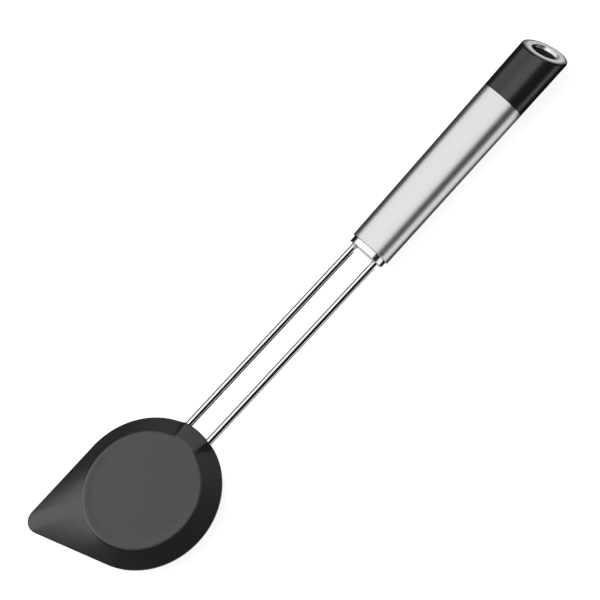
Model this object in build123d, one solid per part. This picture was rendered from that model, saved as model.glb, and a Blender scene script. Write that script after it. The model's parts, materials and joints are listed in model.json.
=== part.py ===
from build123d import *
import os
from math import cos, radians, sin, sqrt, tan

# A silicone cooking spoon with a wire neck and a round steel handle.
# X runs along the spoon from the head to the end of the handle, Z is up out of the
# side with the raised pad, and the back of the head is level. While it is being
# built, the middle of the two wires is the X axis and X = 0 is where they meet the
# handle. At the end everything moves so that the origin is at the middle of the
# spoon's box, on its underside. All lengths are in millimetres.

# Wire neck: one rod bent into a long U
wire_diameter = 3.5
wire_spacing = 15.0
wire_visible_length = 120.0
wire_depth_in_head = 52.0
wire_depth_in_handle = 36.0
handle_tilt = 2.5
wire_bend_radius = 40.0
wire_bend_depth = 3.5

# Head: a round blade that runs out to one rounded corner
head_radius = 40.0
corner_radius = 7.0
corner_sweep = 106.7
rim_thickness = 1.3
rim_edge_radius = 0.4
silicone_under_wire = 0.95
pad_radius = 31.0
pad_rise = 4.5
pad_edge_radius = 0.6
corner_pad_share = 0.16

# Boss that carries the wires over the sloping border
boss_pad_width = 14.0
boss_rim_width = 16.6
boss_flank_run = 4.2
boss_drop = 0.9

# Stiffener moulded into the head
core_border = 4.0
core_thickness = 3.9
core_edge_radius = 0.5
grip_hole_diameter = 6.0
grip_hole_circle_radius = 19.0
grip_hole_count = 7
grip_hole_step = 40.0

# Handle: front cap, steel sleeve and the insert inside them
sleeve_front_diameter = 22.1
sleeve_rear_diameter = 23.8
sleeve_length = 98.5
sleeve_wall = 0.9
sleeve_edge_radius = 0.5
front_cap_step = 3.4
front_cap_depth_in_sleeve = 7.0
front_cap_wall = 1.0
front_cap_face = 1.2
front_cap_edge_radius = 0.35
insert_length = 46.0

# End cap with its slanted face, and the steel ring let into it
end_cap_length = 32.2
end_cap_spigot_length = 14.0
end_cap_edge_radius = 1.2
slant_angle = 27.0
ring_outer_diameter = 20.6
hanging_hole_diameter = 14.4
hanging_hole_depth = 20.0
ring_thickness = 2.0
ring_edge_radius = 0.3

# Clearances and the overrun that every cut uses
fit_gap = 0.05
overrun = 5.0

# Values that follow from the sizes above
wire_radius = wire_diameter / 2
leg_offset = wire_spacing / 2
head_centre_x = -(wire_visible_length + head_radius)
back_z = -(wire_radius + silicone_under_wire)
rim_top_z = back_z + rim_thickness
pad_z = rim_top_z + pad_rise
corner_start = 90.0
corner_end = corner_start + corner_sweep
corner_middle = corner_start + corner_sweep / 2
corner_distance = (head_radius - corner_radius) / cos(radians(corner_sweep / 2))
tilt = radians(handle_tilt)
slant = tan(radians(slant_angle))
sleeve_start = front_cap_step
sleeve_end = sleeve_start + sleeve_length
sleeve_taper = (sleeve_rear_diameter - sleeve_front_diameter) / 2 / sleeve_length
front_cap_radius = sleeve_front_diameter / 2 - sleeve_wall - fit_gap
front_cap_end = sleeve_start + front_cap_depth_in_sleeve
ring_radius = ring_outer_diameter / 2
hanging_hole_radius = hanging_hole_diameter / 2
face_station = sleeve_end + end_cap_length

# The handle's own plane: its origin is at the middle of the front cap's face, its Z
# runs along the handle to the end, and its X points to the pad's side of the spoon.
handle_axis = Vector(cos(tilt), 0, sin(tilt))
bend_corner = Vector(wire_bend_depth, 0, 0)
handle_plane = Plane(
    origin=bend_corner - handle_axis * wire_bend_depth,
    x_dir=(-sin(tilt), 0, cos(tilt)),
    z_dir=handle_axis,
)


def outer_radius(station):
    # outside radius of the tapered grip, at a distance from the front cap's face
    return sleeve_front_diameter / 2 + (station - sleeve_start) * sleeve_taper


def bore_radius(station):
    # inside radius of the tapered steel sleeve
    return outer_radius(station) - sleeve_wall


def turned(points):
    # a round piece from (radius, station) pairs, along the handle's axis
    outline = Polyline([(radius, 0, station) for radius, station in points], close=True)
    return revolve(make_face(outline), axis=Axis.Z)


def slant_plane(depth):
    # the plane of the slanted end face, or one lying deeper along the axis
    lean = radians(slant_angle)
    return Plane(origin=(0, 0, face_station - depth), x_dir=(0, 1, 0), z_dir=(sin(lean), 0, cos(lean)))


def below_slant(solid, depth):
    return split(solid, bisect_by=slant_plane(depth), keep=Keep.BOTTOM)


def above_slant(solid, depth):
    return split(solid, bisect_by=slant_plane(depth), keep=Keep.TOP)


def leg_points(side):
    # the corners of one leg, from the U in the head to the end in the handle
    y = side * leg_offset
    bend_tangent = wire_bend_radius * tan(tilt / 2)
    bend_start = Vector(wire_bend_depth - bend_tangent, y, 0)
    bend_end = Vector(wire_bend_depth, y, 0) + handle_axis * bend_tangent
    bend_middle = bend_start + Vector(
        wire_bend_radius * sin(tilt / 2), 0, wire_bend_radius * (1 - cos(tilt / 2))
    )
    u_start = Vector(head_centre_x + head_radius - wire_depth_in_head + leg_offset, y, 0)
    leg_end = Vector(0, y, 0) + handle_plane.origin + handle_axis * wire_depth_in_handle
    return u_start, bend_start, bend_middle, bend_end, leg_end


def wire_rod(radius):
    # the bent rod, or with a larger radius the room that it needs
    left = leg_points(1)
    right = leg_points(-1)
    u_tip = Vector(left[0].X - leg_offset, 0, 0)
    path = Wire([
        Line(left[4], left[3]),
        ThreePointArc(left[3], left[2], left[1]),
        Line(left[1], left[0]),
        ThreePointArc(left[0], u_tip, right[0]),
        Line(right[0], right[1]),
        ThreePointArc(right[1], right[2], right[3]),
        Line(right[3], right[4]),
    ])
    start = Plane(origin=left[4], z_dir=-handle_axis)
    return sweep(start * Circle(radius), path=path)


def blade_edges(grow, height):
    # the head's outline: a belt round the large circle and the small corner circle
    large = head_radius + grow
    small = corner_radius + grow
    towards = radians(corner_middle)
    corner = (corner_distance * cos(towards), corner_distance * sin(towards))
    large_arc = CenterArc((0, 0), large, corner_end, 360 - corner_sweep)
    small_arc = CenterArc(corner, small, corner_start, corner_sweep)
    edges = [large_arc, Line(large_arc @ 1, small_arc @ 0), small_arc, Line(small_arc @ 1, large_arc @ 0)]
    return Pos(head_centre_x, 0, height) * make_face(edges)


def pad_edges(height):
    # the pad's circle, cut into the same four runs as the outline
    tip_sweep = corner_sweep * corner_pad_share
    side_sweep = (corner_sweep - tip_sweep) / 2
    edges = [
        CenterArc((0, 0), pad_radius, corner_end, 360 - corner_sweep),
        CenterArc((0, 0), pad_radius, corner_start, side_sweep),
        CenterArc((0, 0), pad_radius, corner_start + side_sweep, tip_sweep),
        CenterArc((0, 0), pad_radius, corner_end - side_sweep, side_sweep),
    ]
    return Pos(head_centre_x, 0, height) * make_face(edges)


def boss_section(x, top, top_z):
    # the boss across the wires: a flat top, from its half width, and two sloping flanks
    foot = top + boss_flank_run
    points = [
        (x, -foot, back_z),
        (x, foot, back_z),
        (x, foot, rim_top_z),
        (x, top, top_z),
        (x, -top, top_z),
        (x, -foot, rim_top_z),
    ]
    return make_face(Polyline(points, close=True))


def make_boss():
    # the ramp starts on the pad's edge, and towards the rim it falls a little and widens
    start_top = boss_pad_width / 2
    start_x = head_centre_x + sqrt(pad_radius ** 2 - start_top ** 2)
    rim_x = head_centre_x + head_radius
    end_x = rim_x + overrun
    stretch = (end_x - start_x) / (rim_x - start_x)
    end_top = start_top + (boss_rim_width - boss_pad_width) / 2 * stretch
    end_z = pad_z - boss_drop * stretch
    ramp = loft([boss_section(start_x, start_top, pad_z), boss_section(end_x, end_top, end_z)], ruled=True)
    trim = Pos(head_centre_x, 0, back_z) * Cylinder(
        head_radius, pad_z - back_z + overrun, align=(Align.CENTER, Align.CENTER, Align.MIN)
    )
    return ramp & trim


def head_core_form(grow):
    # a round plate with a slot for the U and holes that the silicone grips through
    radius = pad_radius - core_border + grow
    half = core_thickness / 2 + grow
    plate = Pos(head_centre_x, 0, 0) * Cylinder(radius, 2 * half)
    plate = fillet(plate.edges().filter_by(GeomType.CIRCLE), core_edge_radius)
    u_centre_x = leg_points(1)[0].X
    slot_radius = leg_offset - grow
    slot = Pos(u_centre_x, 0, 0) * Cylinder(slot_radius, 2 * (half + overrun))
    slot += Pos(u_centre_x, 0, 0) * Box(
        head_radius, 2 * slot_radius, 2 * (half + overrun), align=(Align.MIN, Align.CENTER, Align.CENTER)
    )
    plate -= slot
    hole_span = grip_hole_step * (grip_hole_count - 1)
    for index in range(grip_hole_count):
        angle = 180 - hole_span / 2 + index * grip_hole_step
        place = Pos(head_centre_x, 0, 0) * Rot(0, 0, angle) * Pos(grip_hole_circle_radius, 0, 0)
        plate -= place * Cylinder(grip_hole_diameter / 2 - grow, 2 * (half + overrun))
    return plate


def make_head_core():
    return head_core_form(0) - wire_rod(wire_radius + fit_gap)


def make_silicone_head():
    blade = extrude(blade_edges(0, back_z), amount=rim_thickness)
    blade = fillet(blade.edges().group_by(Axis.Z)[0], rim_edge_radius)
    border = loft([blade_edges(0, rim_top_z), pad_edges(pad_z)], ruled=True)
    pad_rim = border.faces().sort_by(Axis.Z)[-1].edges()
    border = fillet(pad_rim, pad_edge_radius)
    head = blade + border + make_boss()
    head -= head_core_form(fit_gap)
    head -= wire_rod(wire_radius + fit_gap)
    return head


def make_front_cap():
    cup = turned([
        (0, 0),
        (front_cap_radius, 0),
        (front_cap_radius, front_cap_end),
        (front_cap_radius - front_cap_wall, front_cap_end),
        (front_cap_radius - front_cap_wall, front_cap_face),
        (0, front_cap_face),
    ])
    front_edge = cup.edges().filter_by(GeomType.CIRCLE).group_by(Axis.Z)[0]
    cup = fillet(front_edge, front_cap_edge_radius)
    return handle_plane * cup - wire_rod(wire_radius + fit_gap)


def make_handle_sleeve():
    tube = turned([
        (bore_radius(sleeve_start), sleeve_start),
        (outer_radius(sleeve_start), sleeve_start),
        (outer_radius(sleeve_end), sleeve_end),
        (bore_radius(sleeve_end), sleeve_end),
    ])
    front_edge = tube.edges().filter_by(GeomType.CIRCLE).group_by(Axis.Z)[0].sort_by(SortBy.RADIUS)[-1]
    return handle_plane * fillet(front_edge, sleeve_edge_radius)


def make_handle_insert():
    nose_radius = front_cap_radius - front_cap_wall - fit_gap
    nose_start = front_cap_face + fit_gap
    shoulder = front_cap_end + fit_gap
    insert_end = nose_start + insert_length
    plug = turned([
        (0, nose_start),
        (nose_radius, nose_start),
        (nose_radius, shoulder),
        (bore_radius(shoulder) - fit_gap, shoulder),
        (bore_radius(insert_end) - fit_gap, insert_end),
        (0, insert_end),
    ])
    return handle_plane * plug - wire_rod(wire_radius + fit_gap)


def make_end_cap():
    # the grip's own taper goes on past the seam, up to the slanted face
    spigot_start = sleeve_end - end_cap_spigot_length
    seam = sleeve_end + fit_gap
    longest = face_station + outer_radius(face_station) * slant + overrun
    body = turned([
        (0, spigot_start),
        (bore_radius(spigot_start) - fit_gap, spigot_start),
        (bore_radius(seam) - fit_gap, seam),
        (outer_radius(seam), seam),
        (outer_radius(longest), longest),
        (0, longest),
    ])
    body = below_slant(body, 0)
    face_edge = body.faces().sort_by(Axis.Z)[-1].edges()
    body = fillet(face_edge, end_cap_edge_radius)
    seat = turned([
        (0, spigot_start),
        (ring_radius + fit_gap, spigot_start),
        (ring_radius + fit_gap, longest),
        (0, longest),
    ])
    body -= above_slant(seat, ring_thickness)
    floor = face_station - hanging_hole_depth
    body -= turned([
        (0, floor),
        (hanging_hole_radius, floor),
        (hanging_hole_radius, longest),
        (0, longest),
    ])
    return handle_plane * body


def make_hanging_ring():
    reach = ring_radius * slant + ring_thickness + overrun
    ring = turned([
        (hanging_hole_radius, face_station - reach),
        (ring_radius, face_station - reach),
        (ring_radius, face_station + reach),
        (hanging_hole_radius, face_station + reach),
    ])
    ring = below_slant(ring, 0)
    ring = above_slant(ring, ring_thickness - fit_gap)
    top_edges = ring.faces().filter_by(GeomType.PLANE).sort_by(Axis.Z)[-1].edges()
    return handle_plane * fillet(top_edges, ring_edge_radius)


pieces = {
    "silicone_head": make_silicone_head(),
    "head_core": make_head_core(),
    "wire_frame": wire_rod(wire_radius),
    "front_cap": make_front_cap(),
    "handle_sleeve": make_handle_sleeve(),
    "handle_insert": make_handle_insert(),
    "end_cap": make_end_cap(),
    "hanging_ring": make_hanging_ring(),
}

# The box of the whole spoon gives the origin
box = Compound(list(pieces.values())).bounding_box()
to_origin = Pos(-(box.min.X + box.max.X) / 2, -(box.min.Y + box.max.Y) / 2, -box.min.Z)

os.makedirs("parts", exist_ok=True)
for name, piece in pieces.items():
    placed = to_origin * piece
    export_step(placed, f"parts/{name}.step")
    print(name, "volume", round(placed.volume, 1), "solids", len(placed.solids()))

move = to_origin.position
print("moved by", round(move.X, 4), round(move.Y, 4), round(move.Z, 4))
print("spoon", round(box.size.X, 2), "long,", round(box.size.Y, 2), "wide,", round(box.size.Z, 2), "high")
hole_floor = handle_plane.from_local_coords(Vector(0, 0, face_station - hanging_hole_depth)) + move
face_middle = handle_plane.from_local_coords(Vector(0, 0, face_station)) + move
print("hanging hole floor at", [round(value, 3) for value in hole_floor])
print("slanted face middle at", [round(value, 3) for value in face_middle])
print("wires' middle at", round(move.Z, 3), "high, head's centre at", round(head_centre_x + move.X, 3))
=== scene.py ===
import json
import math

import bpy
from mathutils import Euler, Matrix, Vector


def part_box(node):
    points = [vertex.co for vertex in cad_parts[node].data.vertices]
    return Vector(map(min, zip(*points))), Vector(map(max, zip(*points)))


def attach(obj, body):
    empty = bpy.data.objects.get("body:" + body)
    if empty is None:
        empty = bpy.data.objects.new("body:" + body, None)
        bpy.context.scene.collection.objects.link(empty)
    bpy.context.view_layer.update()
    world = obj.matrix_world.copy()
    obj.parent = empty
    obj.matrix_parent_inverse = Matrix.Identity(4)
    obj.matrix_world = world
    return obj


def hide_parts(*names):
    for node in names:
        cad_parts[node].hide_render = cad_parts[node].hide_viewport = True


# A silicone cooking spoon with a wire neck and a round steel handle, lying on a pale floor.
# Lengths are in metres. Angles are in degrees where a name or a note says so, and in radians elsewhere.
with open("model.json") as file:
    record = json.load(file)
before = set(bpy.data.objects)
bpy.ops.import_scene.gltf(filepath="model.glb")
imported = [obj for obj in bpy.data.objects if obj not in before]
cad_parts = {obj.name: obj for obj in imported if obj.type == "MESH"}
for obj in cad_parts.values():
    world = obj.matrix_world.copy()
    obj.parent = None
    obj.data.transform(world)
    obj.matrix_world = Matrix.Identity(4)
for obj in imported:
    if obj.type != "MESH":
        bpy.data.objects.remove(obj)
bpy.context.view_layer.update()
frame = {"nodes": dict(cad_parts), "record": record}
print("frame loaded:", len(frame["nodes"]), "nodes")

mm = 0.001


# Sizes of the silicone head. Its pad, border and boss are drawn from them, and so is the painted highlight
# round the pad's edge.
headShape = {
    "radius": 40 * mm,
    "cornerRadius": 7 * mm,
    "cornerStart": 90,  # degrees round the head, from the side of the handle
    "cornerSweep": 106.7,  # degrees
    "padRadius": 31 * mm,
    "tipShare": 0.16,  # how much of the pad's edge faces the corner itself
    "rimHeight": 1.3 * mm,
    "backRound": 0.4 * mm,
    "rimRound": 0.35 * mm,
    "padSoft": 0.35 * mm,
    "padHighlightFall": 1.0 * mm,  # the painted highlight round the pad ends this far below the pad
    "lineHeight": 0.18 * mm,  # the fine raised line round the pad
    "lineOut": 1.2 * mm,  # its width outside the pad's edge
    "lineIn": 5.0 * mm,  # its width inside the pad's edge
    "bossPadHalf": 7 * mm,
    "bossRimHalf": 8.3 * mm,
    "bossFlank": 4.2 * mm,
    "bossDrop": 0.9 * mm,
    "bossSoft": 0.8 * mm,
    "bossBend": 0.07,  # how softly its top bends off the pad, as a share of its run
    "creaseSoft": 1.8 * mm,
    "creaseGrowth": 8,  # how fast the crease beside the boss softens, away from the pad
    "creaseLeast": 0.01,  # share of its softness that the crease keeps at the pad
    "coarseStep": 1.5,  # degrees between points of the large arc
    "fineStep": 0.4,  # the same near the boss
    "fineReach": 24,  # degrees to each side of the boss's middle
    "sideSteps": 36,
    "tipSteps": 40,
    "roundSteps": 4,
    "borderSteps": 30,
    "borderStop": 1.3,  # the border's rings stop this many times lineOut from the pad's edge
    "lineSteps": 4,
    "backRings": (0.35, 0.7, 0.93),  # shares of the way out to the outline
    "inSteps": (0.03, 0.06, 0.1, 0.15, 0.24, 0.36, 0.5, 0.66, 0.84, 1),  # shares of lineIn
    "padRings": (0.8, 0.65, 0.5, 0.35, 0.2, 0.1),  # shares of the way out to the pad's edge
}


# Node helpers

noiseLow = 0.3  # nearly all of the noise lies between these two
noiseHigh = 0.7


def newMaterial(name):
    material = bpy.data.materials.new(name)
    material.use_nodes = True
    nodes = material.node_tree.nodes
    return material, nodes["Principled BSDF"], Nodes(material.node_tree)


class Nodes:
    # short calls for the few node kinds that the finishes use

    def __init__(self, tree):
        self.tree = tree

    def add(self, kind, inputs=None, **settings):
        node = self.tree.nodes.new(kind)
        for key, value in settings.items():
            setattr(node, key, value)
        for key, value in (inputs or {}).items():
            if isinstance(value, bpy.types.NodeSocket):
                self.tree.links.new(value, node.inputs[key])
            else:
                node.inputs[key].default_value = value
        return node

    def place(self, scale=(1, 1, 1)):
        # object coordinates in metres, scaled unevenly for grain that runs one way
        coords = self.add("ShaderNodeTexCoord").outputs["Object"]
        return self.add("ShaderNodeMapping", {"Vector": coords, "Scale": scale}).outputs["Vector"]

    def noise(self, place, scale, detail=3.0):
        inputs = {"Vector": place, "Scale": scale, "Detail": detail}
        return self.add("ShaderNodeTexNoise", inputs).outputs["Fac"]

    def spread(self, value, low, high, fromLow=noiseLow, fromHigh=noiseHigh):
        return self.add(
            "ShaderNodeMapRange",
            {"Value": value, "From Min": fromLow, "From Max": fromHigh, "To Min": low, "To Max": high},
        ).outputs["Result"]

    def tone(self, value, dark, light):
        ramp = self.add("ShaderNodeValToRGB", {"Fac": value})
        ramp.color_ramp.elements[0].position = noiseLow
        ramp.color_ramp.elements[0].color = (*dark, 1)
        ramp.color_ramp.elements[1].position = noiseHigh
        ramp.color_ramp.elements[1].color = (*light, 1)
        return ramp.outputs["Color"]

    def blend(self, share, first, second):
        # a Mix node for colours takes them at its sockets 6 and 7, and its result is output 2
        node = self.add("ShaderNodeMix", {0: share}, data_type="RGBA")
        self.tree.links.new(first, node.inputs[6])
        node.inputs[7].default_value = second
        return node.outputs[2]

    def bump(self, height, depth):
        inputs = {"Height": height, "Distance": depth, "Strength": 1}
        return self.add("ShaderNodeBump", inputs).outputs["Normal"]

    def combine(self, operation, first, second=0):
        return self.add("ShaderNodeMath", {0: first, 1: second}, operation=operation).outputs[0]


# Finishes

siliconeLook = {
    "dark": (0.016, 0.016, 0.016),
    "light": (0.020, 0.020, 0.020),
    "roughness": (0.32, 0.38),
    "grain": 0.45 * mm,
    "grainDepth": 0.05 * mm,
    "cloud": 18 * mm,
    "line": (0.115, 0.115, 0.115),  # painted highlight along the pad's edge
    "highlightHalf": 0.35 * mm,
    "ior": 1.6,
}


def siliconeMaterial():
    look = siliconeLook
    material, shader, nodes = newMaterial("silicone")
    place = nodes.place()
    cloud = nodes.noise(place, 1 / look["cloud"], detail=4)
    grain = nodes.noise(place, 1 / look["grain"], detail=2)
    body = nodes.tone(cloud, look["dark"], look["light"])
    # the pad's edge is painted lighter: a painted highlight, not a colour of the silicone
    color = nodes.blend(padHighlight(nodes), body, (*look["line"], 1))
    links = material.node_tree.links
    links.new(color, shader.inputs["Base Color"])
    links.new(nodes.spread(grain, *look["roughness"]), shader.inputs["Roughness"])
    links.new(nodes.bump(grain, look["grainDepth"]), shader.inputs["Normal"])
    shader.inputs["IOR"].default_value = look["ior"]
    return material


def padHighlight(nodes):
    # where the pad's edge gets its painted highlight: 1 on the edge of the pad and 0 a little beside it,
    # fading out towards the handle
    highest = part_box("silicone_head")[1]
    centreX = highest.x - headShape["radius"]
    place = nodes.place()
    flat = nodes.add("ShaderNodeVectorMath", {0: place, 1: (1, 1, 0)}, operation="MULTIPLY")
    reach = nodes.add(
        "ShaderNodeVectorMath", {0: flat.outputs["Vector"], 1: (centreX, 0, 0)}, operation="DISTANCE"
    )
    off = nodes.combine("ABSOLUTE", nodes.combine("SUBTRACT", reach.outputs["Value"], headShape["padRadius"]))
    near = nodes.spread(off, 1, 0, 0, siliconeLook["highlightHalf"])
    parts = nodes.add("ShaderNodeSeparateXYZ", {"Vector": place})
    fade = nodes.spread(parts.outputs["X"], 1, 0, centreX - headShape["padRadius"], centreX)
    onTop = nodes.spread(parts.outputs["Z"], 0, 1, highest.z - headShape["padHighlightFall"], highest.z)
    return nodes.combine("MULTIPLY", nodes.combine("MULTIPLY", near, fade), onTop)


nylonLook = {
    "dark": (0.035, 0.035, 0.035),
    "light": (0.055, 0.055, 0.055),
    "roughness": (0.5, 0.65),
    "grain": 0.3 * mm,
    "grainDepth": 0.02 * mm,
}


def nylonMaterial():
    look = nylonLook
    material, shader, nodes = newMaterial("nylon")
    grain = nodes.noise(nodes.place(), 1 / look["grain"])
    links = material.node_tree.links
    links.new(nodes.tone(grain, look["dark"], look["light"]), shader.inputs["Base Color"])
    links.new(nodes.spread(grain, *look["roughness"]), shader.inputs["Roughness"])
    links.new(nodes.bump(grain, look["grainDepth"]), shader.inputs["Normal"])
    return material


# The steel finishes. The lines are the marks of drawing or grinding, along the spoon or round the grip.
polishedLook = {
    "dark": (0.70, 0.70, 0.70),
    "light": (0.78, 0.78, 0.775),
    "edge": (0.4, 0.4, 0.4),  # seen almost along the surface
    "roughness": (0.07, 0.13),
    "lineWidth": 0.12 * mm,
    "lineLength": 14 * mm,
    "lineDepth": 0.002 * mm,
    "linesRound": False,
}
cupLook = {
    "dark": (0.71, 0.71, 0.71),
    "light": (0.77, 0.77, 0.765),
    "edge": (0.5, 0.5, 0.5),
    "roughness": (0.15, 0.19),
    "lineWidth": 0.08 * mm,
    "lineLength": 6 * mm,
    "lineDepth": 0.0008 * mm,
    "linesRound": True,
}
satinLook = {
    "dark": (0.57, 0.57, 0.57),
    "light": (0.63, 0.63, 0.625),
    "edge": (0.6, 0.6, 0.6),
    "roughness": (0.31, 0.36),
    "lineWidth": 0.08 * mm,
    "lineLength": 3 * mm,
    "lineDepth": 0.0012 * mm,
    "linesRound": True,
}


def steelMaterial(name, look):
    material, shader, nodes = newMaterial(name)
    stretch = look["lineWidth"] / look["lineLength"]
    scale = (1, stretch, stretch) if look["linesRound"] else (stretch, 1, 1)
    lines = nodes.noise(nodes.place(scale=scale), 1 / look["lineWidth"], detail=3)
    links = material.node_tree.links
    links.new(nodes.tone(lines, look["dark"], look["light"]), shader.inputs["Base Color"])
    links.new(nodes.spread(lines, *look["roughness"]), shader.inputs["Roughness"])
    links.new(nodes.bump(lines, look["lineDepth"]), shader.inputs["Normal"])
    shader.inputs["Metallic"].default_value = 1
    shader.inputs["Specular Tint"].default_value = (*look["edge"], 1)
    return material


plasticLook = {
    "dark": (0.006, 0.006, 0.006),
    "light": (0.009, 0.009, 0.009),
    "roughness": (0.24, 0.32),
    "grain": 0.35 * mm,
    "grainDepth": 0.004 * mm,
    "holeRoughness": 0.85,  # the hanging hole is left as it came from the mould
    "holeRoom": 0.2 * mm,  # the rough finish ends this far outside the hole's wall
}


def plasticMaterial():
    look = plasticLook
    material, shader, nodes = newMaterial("black_plastic")
    grain = nodes.noise(nodes.place(), 1 / look["grain"], detail=2)
    links = material.node_tree.links
    links.new(nodes.tone(grain, look["dark"], look["light"]), shader.inputs["Base Color"])
    links.new(nodes.bump(grain, look["grainDepth"]), shader.inputs["Normal"])
    # off is the way from the hole's middle, and reach the distance from its axis
    hole = next(mount for mount in frame["record"]["mounts"] if mount["name"] == "hanging_hole")
    wall = hole["dims"]["r_mm"] * mm
    off = nodes.add("ShaderNodeVectorMath", {0: nodes.place(), 1: hole["pos_m"]}, operation="SUBTRACT")
    across = nodes.add(
        "ShaderNodeVectorMath", {0: off.outputs["Vector"], 1: hole["axis"]}, operation="CROSS_PRODUCT"
    )
    reach = nodes.add("ShaderNodeVectorMath", {0: across.outputs["Vector"]}, operation="LENGTH")
    dull = nodes.spread(reach.outputs["Value"], look["holeRoughness"], 0, wall, wall + look["holeRoom"])
    smooth = nodes.spread(grain, *look["roughness"])
    links.new(nodes.combine("MAXIMUM", smooth, dull), shader.inputs["Roughness"])
    return material


finishes = {
    "silicone": siliconeMaterial(),
    "nylon": nylonMaterial(),
    "polished_steel": steelMaterial("polished_steel", polishedLook),
    "satin_steel": steelMaterial("satin_steel", satinLook),
    "black_plastic": plasticMaterial(),
}
nodeFinish = {row["node"]: row["material_slot"] for row in frame["record"]["subparts"]}
for node, obj in frame["nodes"].items():
    obj.material_slots[0].material = finishes[nodeFinish[node]]
# the cup at the front of the grip is polished less than the rod
frame["nodes"]["front_cap"].material_slots[0].material = steelMaterial("cup_steel", cupLook)
print("finishes made:", ", ".join(finishes))


# Meshes

def addObject(name, points, faces):
    mesh = bpy.data.meshes.new(name)
    mesh.from_pydata(points, [], faces)
    obj = bpy.data.objects.new(name, mesh)
    bpy.context.collection.objects.link(obj)
    return obj


def addPiece(name, points, faces, slot):
    # a smooth piece of the spoon in one of the finishes
    piece = addObject(name, points, faces)
    piece.data.polygons.foreach_set("use_smooth", [True] * len(piece.data.polygons))
    piece.data.materials.append(finishes[slot])
    piece.modifiers.new("evenShading", "WEIGHTED_NORMAL")
    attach(piece, "root")
    return piece


# Silicone head: a round blade that runs out to one corner, with a raised pad and a boss over the wires

def softMin(first, second, soft):
    # the lower of two heights, with the corner between them rounded off
    share = max(soft - abs(first - second), 0) / soft
    return min(first, second) - share * share * soft / 4


def softMax(first, second, soft):
    return -softMin(-first, -second, soft)


def along(first, last, steps):
    # steps values from first up to, and without, last
    return [first + (last - first) * index / steps for index in range(steps)]


def out(degrees):
    # the way out from the middle of the head, at this turn round it
    return Vector((math.cos(math.radians(degrees)), math.sin(math.radians(degrees))))


def headLoop(shape):
    # round the head: a point of the outline, the way out there, and its partner on the pad's edge
    start = shape["cornerStart"]
    sweep = shape["cornerSweep"]
    end = start + sweep
    tipSweep = sweep * shape["tipShare"]
    sideSweep = (sweep - tipSweep) / 2
    reach = (shape["radius"] - shape["cornerRadius"]) / math.cos(math.radians(sweep / 2))
    corner = out(start + sweep / 2) * reach
    fineFrom = 360 - shape["fineReach"]
    fineTo = 360 + shape["fineReach"]
    turns = along(end, fineFrom, round((fineFrom - end) / shape["coarseStep"]))
    turns += along(fineFrom, fineTo, round((fineTo - fineFrom) / shape["fineStep"]))
    turns += along(fineTo, start + 360, round((start + 360 - fineTo) / shape["coarseStep"]))
    loop = [(out(turn) * shape["radius"], out(turn), turn) for turn in turns]
    for share in along(0, 1, shape["sideSteps"]):
        way = out(start)
        point = (way * shape["radius"]).lerp(corner + way * shape["cornerRadius"], share)
        loop.append((point, way, start + share * sideSweep))
    for share in along(0, 1, shape["tipSteps"]):
        way = out(start + share * sweep)
        loop.append((corner + way * shape["cornerRadius"], way, start + sideSweep + share * tipSweep))
    for share in along(0, 1, shape["sideSteps"]):
        way = out(end)
        point = (corner + way * shape["cornerRadius"]).lerp(way * shape["radius"], share)
        loop.append((point, way, end - sideSweep + share * sideSweep))
    return [(point, way, out(turn) * shape["padRadius"]) for point, way, turn in loop]


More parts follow.
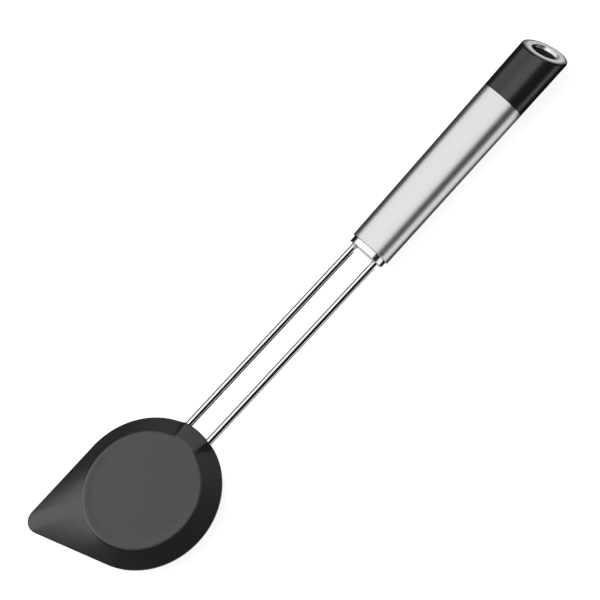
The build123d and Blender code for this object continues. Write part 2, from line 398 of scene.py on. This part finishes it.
def makeHead():
    shape = headShape
    low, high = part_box("silicone_head")
    centre = Vector((high.x - shape["radius"], 0))
    backZ = low.z
    padZ = high.z
    rimZ = backZ + shape["rimHeight"]
    bossRun = shape["radius"] - shape["padRadius"]
    bend = shape["bossBend"]
    bossFoot = shape["bossRimHalf"] + 2 * shape["bossFlank"]  # past the foot of its flanks

    def overBoss(at, height):
        # the top face where the boss rises out of it, with soft creases beside the boss
        run = softMax((at.length - shape["padRadius"]) / bossRun - bend, 0, bend) / (1 - bend)
        top = padZ - shape["bossDrop"] * run
        half = shape["bossPadHalf"] + (shape["bossRimHalf"] - shape["bossPadHalf"]) * run
        beside = (abs(at.y) - half) / shape["bossFlank"]
        boss = softMin(top, top - beside * (top - rimZ), shape["bossSoft"])
        crease = shape["creaseSoft"] * min(max(beside * shape["creaseGrowth"], shape["creaseLeast"]), 1)
        return min(softMax(height, boss, crease), padZ)

    def topHeight(at, base):
        # the height of the top face, from the height of the plain border or pad there
        height = softMin(base, padZ, shape["padSoft"])
        off = at.length - shape["padRadius"]
        spread = off / shape["lineOut"] if off > 0 else -off / shape["lineIn"]
        line = shape["lineHeight"] * (1 - spread * spread) ** 2 if spread < 1 else 0
        line *= (1 - at.x / at.length) / 2  # it fades out towards the handle
        if at.x > 0 and abs(at.y) < bossFoot:
            height = overBoss(at, height)
            line *= min(max((abs(at.y) - shape["bossPadHalf"]) / shape["bossFlank"], 0), 1)
        return height + line

    def borderHeight(at, point, partner):
        # the border rises evenly from the outline to the pad's edge
        return padZ - (padZ - rimZ) * (at - partner).length / (point - partner).length

    loop = headLoop(shape)
    rings = []
    # the flat back, its rounded edge and the rounded rim above it
    for share in shape["backRings"]:
        rings.append([(point * share, backZ) for point, _, _ in loop])
    for step in range(shape["roundSteps"] + 1):
        turn = math.pi / 2 * step / shape["roundSteps"]
        inset = shape["backRound"] * (1 - math.sin(turn))
        rise = shape["backRound"] * (1 - math.cos(turn))
        rings.append([(point - way * inset, backZ + rise) for point, way, _ in loop])
    for step in range(shape["roundSteps"] + 1):
        turn = math.pi / 2 * step / shape["roundSteps"]
        inset = shape["rimRound"] * (1 - math.cos(turn))
        fall = shape["rimRound"] * (1 - math.sin(turn))
        ring = []
        for point, way, partner in loop:
            at = point - way * inset
            ring.append((at, topHeight(at, borderHeight(at, point, partner)) - fall))
        rings.append(ring)
    # the border
    for step in range(1, shape["borderSteps"]):
        ring = []
        for point, way, partner in loop:
            first = point - way * shape["rimRound"]
            last = partner + (point - partner).normalized() * shape["lineOut"] * shape["borderStop"]
            at = first.lerp(last, step / (shape["borderSteps"] - 1))
            ring.append((at, topHeight(at, borderHeight(at, point, partner))))
        rings.append(ring)
    # the raised line on the pad's edge, and the pad inside it
    offsets = [shape["lineOut"] * step / shape["lineSteps"] for step in range(shape["lineSteps"], -1, -1)]
    offsets += [-shape["lineIn"] * share for share in shape["inSteps"]]
    for offset in offsets:
        ring = []
        for point, _, partner in loop:
            slope = (padZ - rimZ) / ((point - partner).dot(partner) / shape["padRadius"])
            at = partner * (1 + offset / shape["padRadius"])
            ring.append((at, topHeight(at, padZ - offset * slope)))
        rings.append(ring)
    for share in shape["padRings"]:
        rings.append([(partner * share, padZ) for _, _, partner in loop])

    count = len(loop)
    points = [(centre.x + at.x, centre.y + at.y, height) for ring in rings for at, height in ring]
    faces = []
    for ring in range(len(rings) - 1):
        for step in range(count):
            here = ring * count + step
            after = ring * count + (step + 1) % count
            faces.append((here, after, after + count, here + count))
    backMiddle = len(points)
    points += [(centre.x, centre.y, backZ), (centre.x, centre.y, padZ)]
    last = (len(rings) - 1) * count
    for step in range(count):
        after = (step + 1) % count
        faces.append((backMiddle, after, step))
        faces.append((backMiddle + 1, last + step, last + after))
    head = addPiece("headSilicone", points, faces, "silicone")
    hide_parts("silicone_head")


makeHead()
print("head made")

# Floor, lights and camera

studio = {
    "floorSize": 12.0,
    "floorColor": (0.45, 0.45, 0.45),
    "floorRoughness": 0.9,
    "floorLift": 0.84,  # glow of the floor for the camera and the reflections
    "fill": 0.50,
}

# Each softbox stands at a place and faces against its aim. It is as long along its edge as its second
# size says. Flags keep it off everything that its lights row doesn't name.
softboxes = {
    "softboxBack": {
        "place": (-0.40, 0.881, 0.999),
        "aim": (-0.05, 0.475, 0.878),
        "edge": (0, 0.878, -0.475),
        "size": (2.4, 2.1),
        "radiance": 1.30,
        "lights": ("front_cap", "handle_sleeve", "hanging_ring", "floor"),
    },
    "softboxNeck": {
        "place": (-0.40, 0.436, 1.239),
        "aim": (-0.05, 0.475, 0.878),
        "edge": (0, 0.878, -0.475),
        "size": (2.4, 1.85),
        "radiance": 1.30,
        "lights": ("wire_frame",),
    },
    "softboxEnd": {
        "place": (-0.275, 0.881, 0.999),
        "aim": (-0.05, 0.475, 0.878),
        "edge": (0, 0.878, -0.475),
        "size": (1.45, 2.1),
        "radiance": 1.30,
        "lights": ("end_cap",),
    },
    "softboxHead": {
        "place": (-0.446, 0.841, 0.952),
        "aim": (-0.247, 0.647, 0.721),
        "edge": (0.210, 0.762, -0.612),
        "size": (1.283, 0.657),
        "radiance": 2.16,
        "lights": ("headSilicone",),
    },
    "softboxHeadFill": {
        "place": (0.461, 0.585, 1.016),
        "aim": (0.450, 0.450, 0.771),
        "edge": (-0.227, 0.893, -0.389),
        "size": (2.2, 2.2),
        "radiance": 0.324,
        "lights": ("headSilicone",),
    },
    "softboxGrip": {
        "place": (0.055, -0.325, 0.396),
        "aim": (-0.0686, -0.4939, 0.8668),
        "edge": (0.016, -0.869, -0.494),
        "size": (0.9, 0.726),
        "radiance": 1.30,
        "lights": ("front_cap", "handle_sleeve"),
    },
    "softboxCup": {
        "place": (-1.10, -0.24, 0.35),
        "aim": (-0.93, -0.20, 0.30),
        "edge": (0, 1, 0),
        "size": (1.4, 1.0),
        "radiance": 0.55,
        "lights": ("front_cap", "handle_sleeve"),
    },
    "softboxCap": {
        "place": (0.113, -0.210, 0.466),
        "aim": (-0.0686, -0.4939, 0.8668),
        "edge": (0.016, -0.869, -0.494),
        "size": (0.9, 0.468),
        "radiance": 1.70,
        "lights": ("end_cap", "hanging_ring"),
    },
}

# Dark cards that only the reflections see: a dome and sheets. They draw the dark lines on the steel.
domeCard = {"radius": 3.6, "rings": 16, "steps": 64}
# Each sheet lies just over the floor: from and to along the spoon, then from and to across it.
sheetCards = {
    "farSheetLeft": ((-3.5, 0.186), (0.026, 3.5)),
    "farSheetEnd": ((0.186, 3.5), (0.046, 3.5)),
    "farSheetRight": ((-3.5, 3.5), (-3.5, -0.048)),
    # The sheets under the neck, the grip and the end are painted shade: they stand in for the floor's shade
    # under the spoon, as the steel reflects it.
    "neckShadeSheet": ((-0.20, 0.0340), (-0.022, 0.026)),
    "gripShadeSheet": ((0.0368, 0.1375), (-0.0175, 0.015)),
    "endShadeSheet": ((0.1375, 0.1815), (-0.026, 0.026)),
    "beyondSheet": ((0.1815, 3.5), (-0.048, -0.006)),
}
sheetHeight = 0.5 * mm
cardColor = (0.03, 0.03, 0.03)


def makeFloor():
    half = studio["floorSize"] / 2
    corners = [(-half, -half, 0), (half, -half, 0), (half, half, 0), (-half, half, 0)]
    floor = addObject("floor", corners, [(0, 1, 2, 3)])
    material, shader, nodes = newMaterial("floor")
    shader.inputs["Base Color"].default_value = (*studio["floorColor"], 1)
    shader.inputs["Roughness"].default_value = studio["floorRoughness"]
    shader.inputs["Specular IOR Level"].default_value = 0
    # the camera and the reflections see more light than the floor gives back
    lift = nodes.combine("MULTIPLY", lightSeen(nodes), studio["floorLift"])
    shader.inputs["Emission Color"].default_value = (1, 1, 1, 1)
    material.node_tree.links.new(lift, shader.inputs["Emission Strength"])
    floor.data.materials.append(material)


def lightSeen(nodes):
    # 1 for the rays that see the background straight, in metal or through glass
    path = nodes.add("ShaderNodeLightPath")
    seen = path.outputs["Is Camera Ray"]
    for kind in ("Is Glossy Ray", "Is Transmission Ray"):
        seen = nodes.combine("MAXIMUM", seen, path.outputs[kind])
    return seen


def makeWorld():
    world = bpy.data.worlds.new("studio")
    world.use_nodes = True
    bpy.context.scene.world = world
    nodes = Nodes(world.node_tree)
    strength = nodes.spread(lightSeen(nodes), studio["fill"], 1.0, 0.0, 1.0)
    background = world.node_tree.nodes["Background"]
    background.inputs["Color"].default_value = (1, 1, 1, 1)
    world.node_tree.links.new(strength, background.inputs["Strength"])


def makeSoftbox(name, box):
    data = bpy.data.lights.new(name, "AREA")
    data.shape = "RECTANGLE"
    data.size, data.size_y = box["size"]
    data.energy = box["radiance"] * math.pi * box["size"][0] * box["size"][1]
    light = bpy.data.objects.new(name, data)
    bpy.context.collection.objects.link(light)
    aim = Vector(box["aim"]).normalized()
    across = Vector(box["edge"]).cross(aim).normalized()
    turn = Matrix((across, aim.cross(across), aim)).transposed()
    light.matrix_world = Matrix.Translation(box["place"]) @ turn.to_4x4()
    light.visible_camera = False
    group = bpy.data.collections.new(name)
    for lit in box["lights"]:
        group.objects.link(frame["nodes"][lit] if lit in frame["nodes"] else bpy.data.objects[lit])
    light.light_linking.receiver_collection = group


def domeMesh():
    # half a ball over the whole studio
    radius = domeCard["radius"]
    points = []
    for ring in range(domeCard["rings"]):
        rise = math.pi / 2 * ring / domeCard["rings"]
        for step in range(domeCard["steps"]):
            turn = 2 * math.pi * step / domeCard["steps"]
            flat = radius * math.cos(rise)
            points.append((flat * math.cos(turn), flat * math.sin(turn), radius * math.sin(rise)))
    faces = []
    for ring in range(domeCard["rings"] - 1):
        for step in range(domeCard["steps"]):
            here = ring * domeCard["steps"]
            after = (step + 1) % domeCard["steps"]
            above = here + domeCard["steps"]
            faces.append((here + step, here + after, above + after, above + step))
    topRing = (domeCard["rings"] - 1) * domeCard["steps"]
    faces.append(tuple(range(topRing, topRing + domeCard["steps"])))
    return points, faces


def makeCards():
    material, shader, _ = newMaterial("card")
    shader.inputs["Base Color"].default_value = (*cardColor, 1)
    shader.inputs["Roughness"].default_value = 1
    shader.inputs["Specular IOR Level"].default_value = 0
    made = [addObject("dome", *domeMesh())]
    height = sheetHeight
    for name, ((first, last), (right, left)) in sheetCards.items():
        corners = [(first, right, height), (last, right, height), (last, left, height), (first, left, height)]
        made.append(addObject(name, corners, [(0, 1, 2, 3)]))
    for card in made:
        card.data.materials.append(material)
        card.visible_camera = False
        card.visible_diffuse = False
        card.visible_transmission = False
        card.visible_shadow = False


view = {
    "lens": 300,
    "aim": (-2.14 * mm, 11.92 * mm, 6.6 * mm),
    "distance": 2.4712,
    "turnDegrees": (23.786, 18.633, -44.208),
    "clipEnd": 100,
}


def makeCamera():
    data = bpy.data.cameras.new("camera")
    data.lens = view["lens"]
    data.clip_end = view["clipEnd"]
    camera = bpy.data.objects.new("camera", data)
    bpy.context.collection.objects.link(camera)
    turn = Euler([math.radians(value) for value in view["turnDegrees"]])
    camera.rotation_euler = turn
    camera.location = Vector(view["aim"]) + turn.to_matrix() @ Vector((0, 0, view["distance"]))
    bpy.context.scene.camera = camera


makeFloor()
makeWorld()
for name, box in softboxes.items():
    makeSoftbox(name, box)
makeCards()
makeCamera()
bpy.context.scene.view_settings.view_transform = "Standard"
print("studio and camera set")
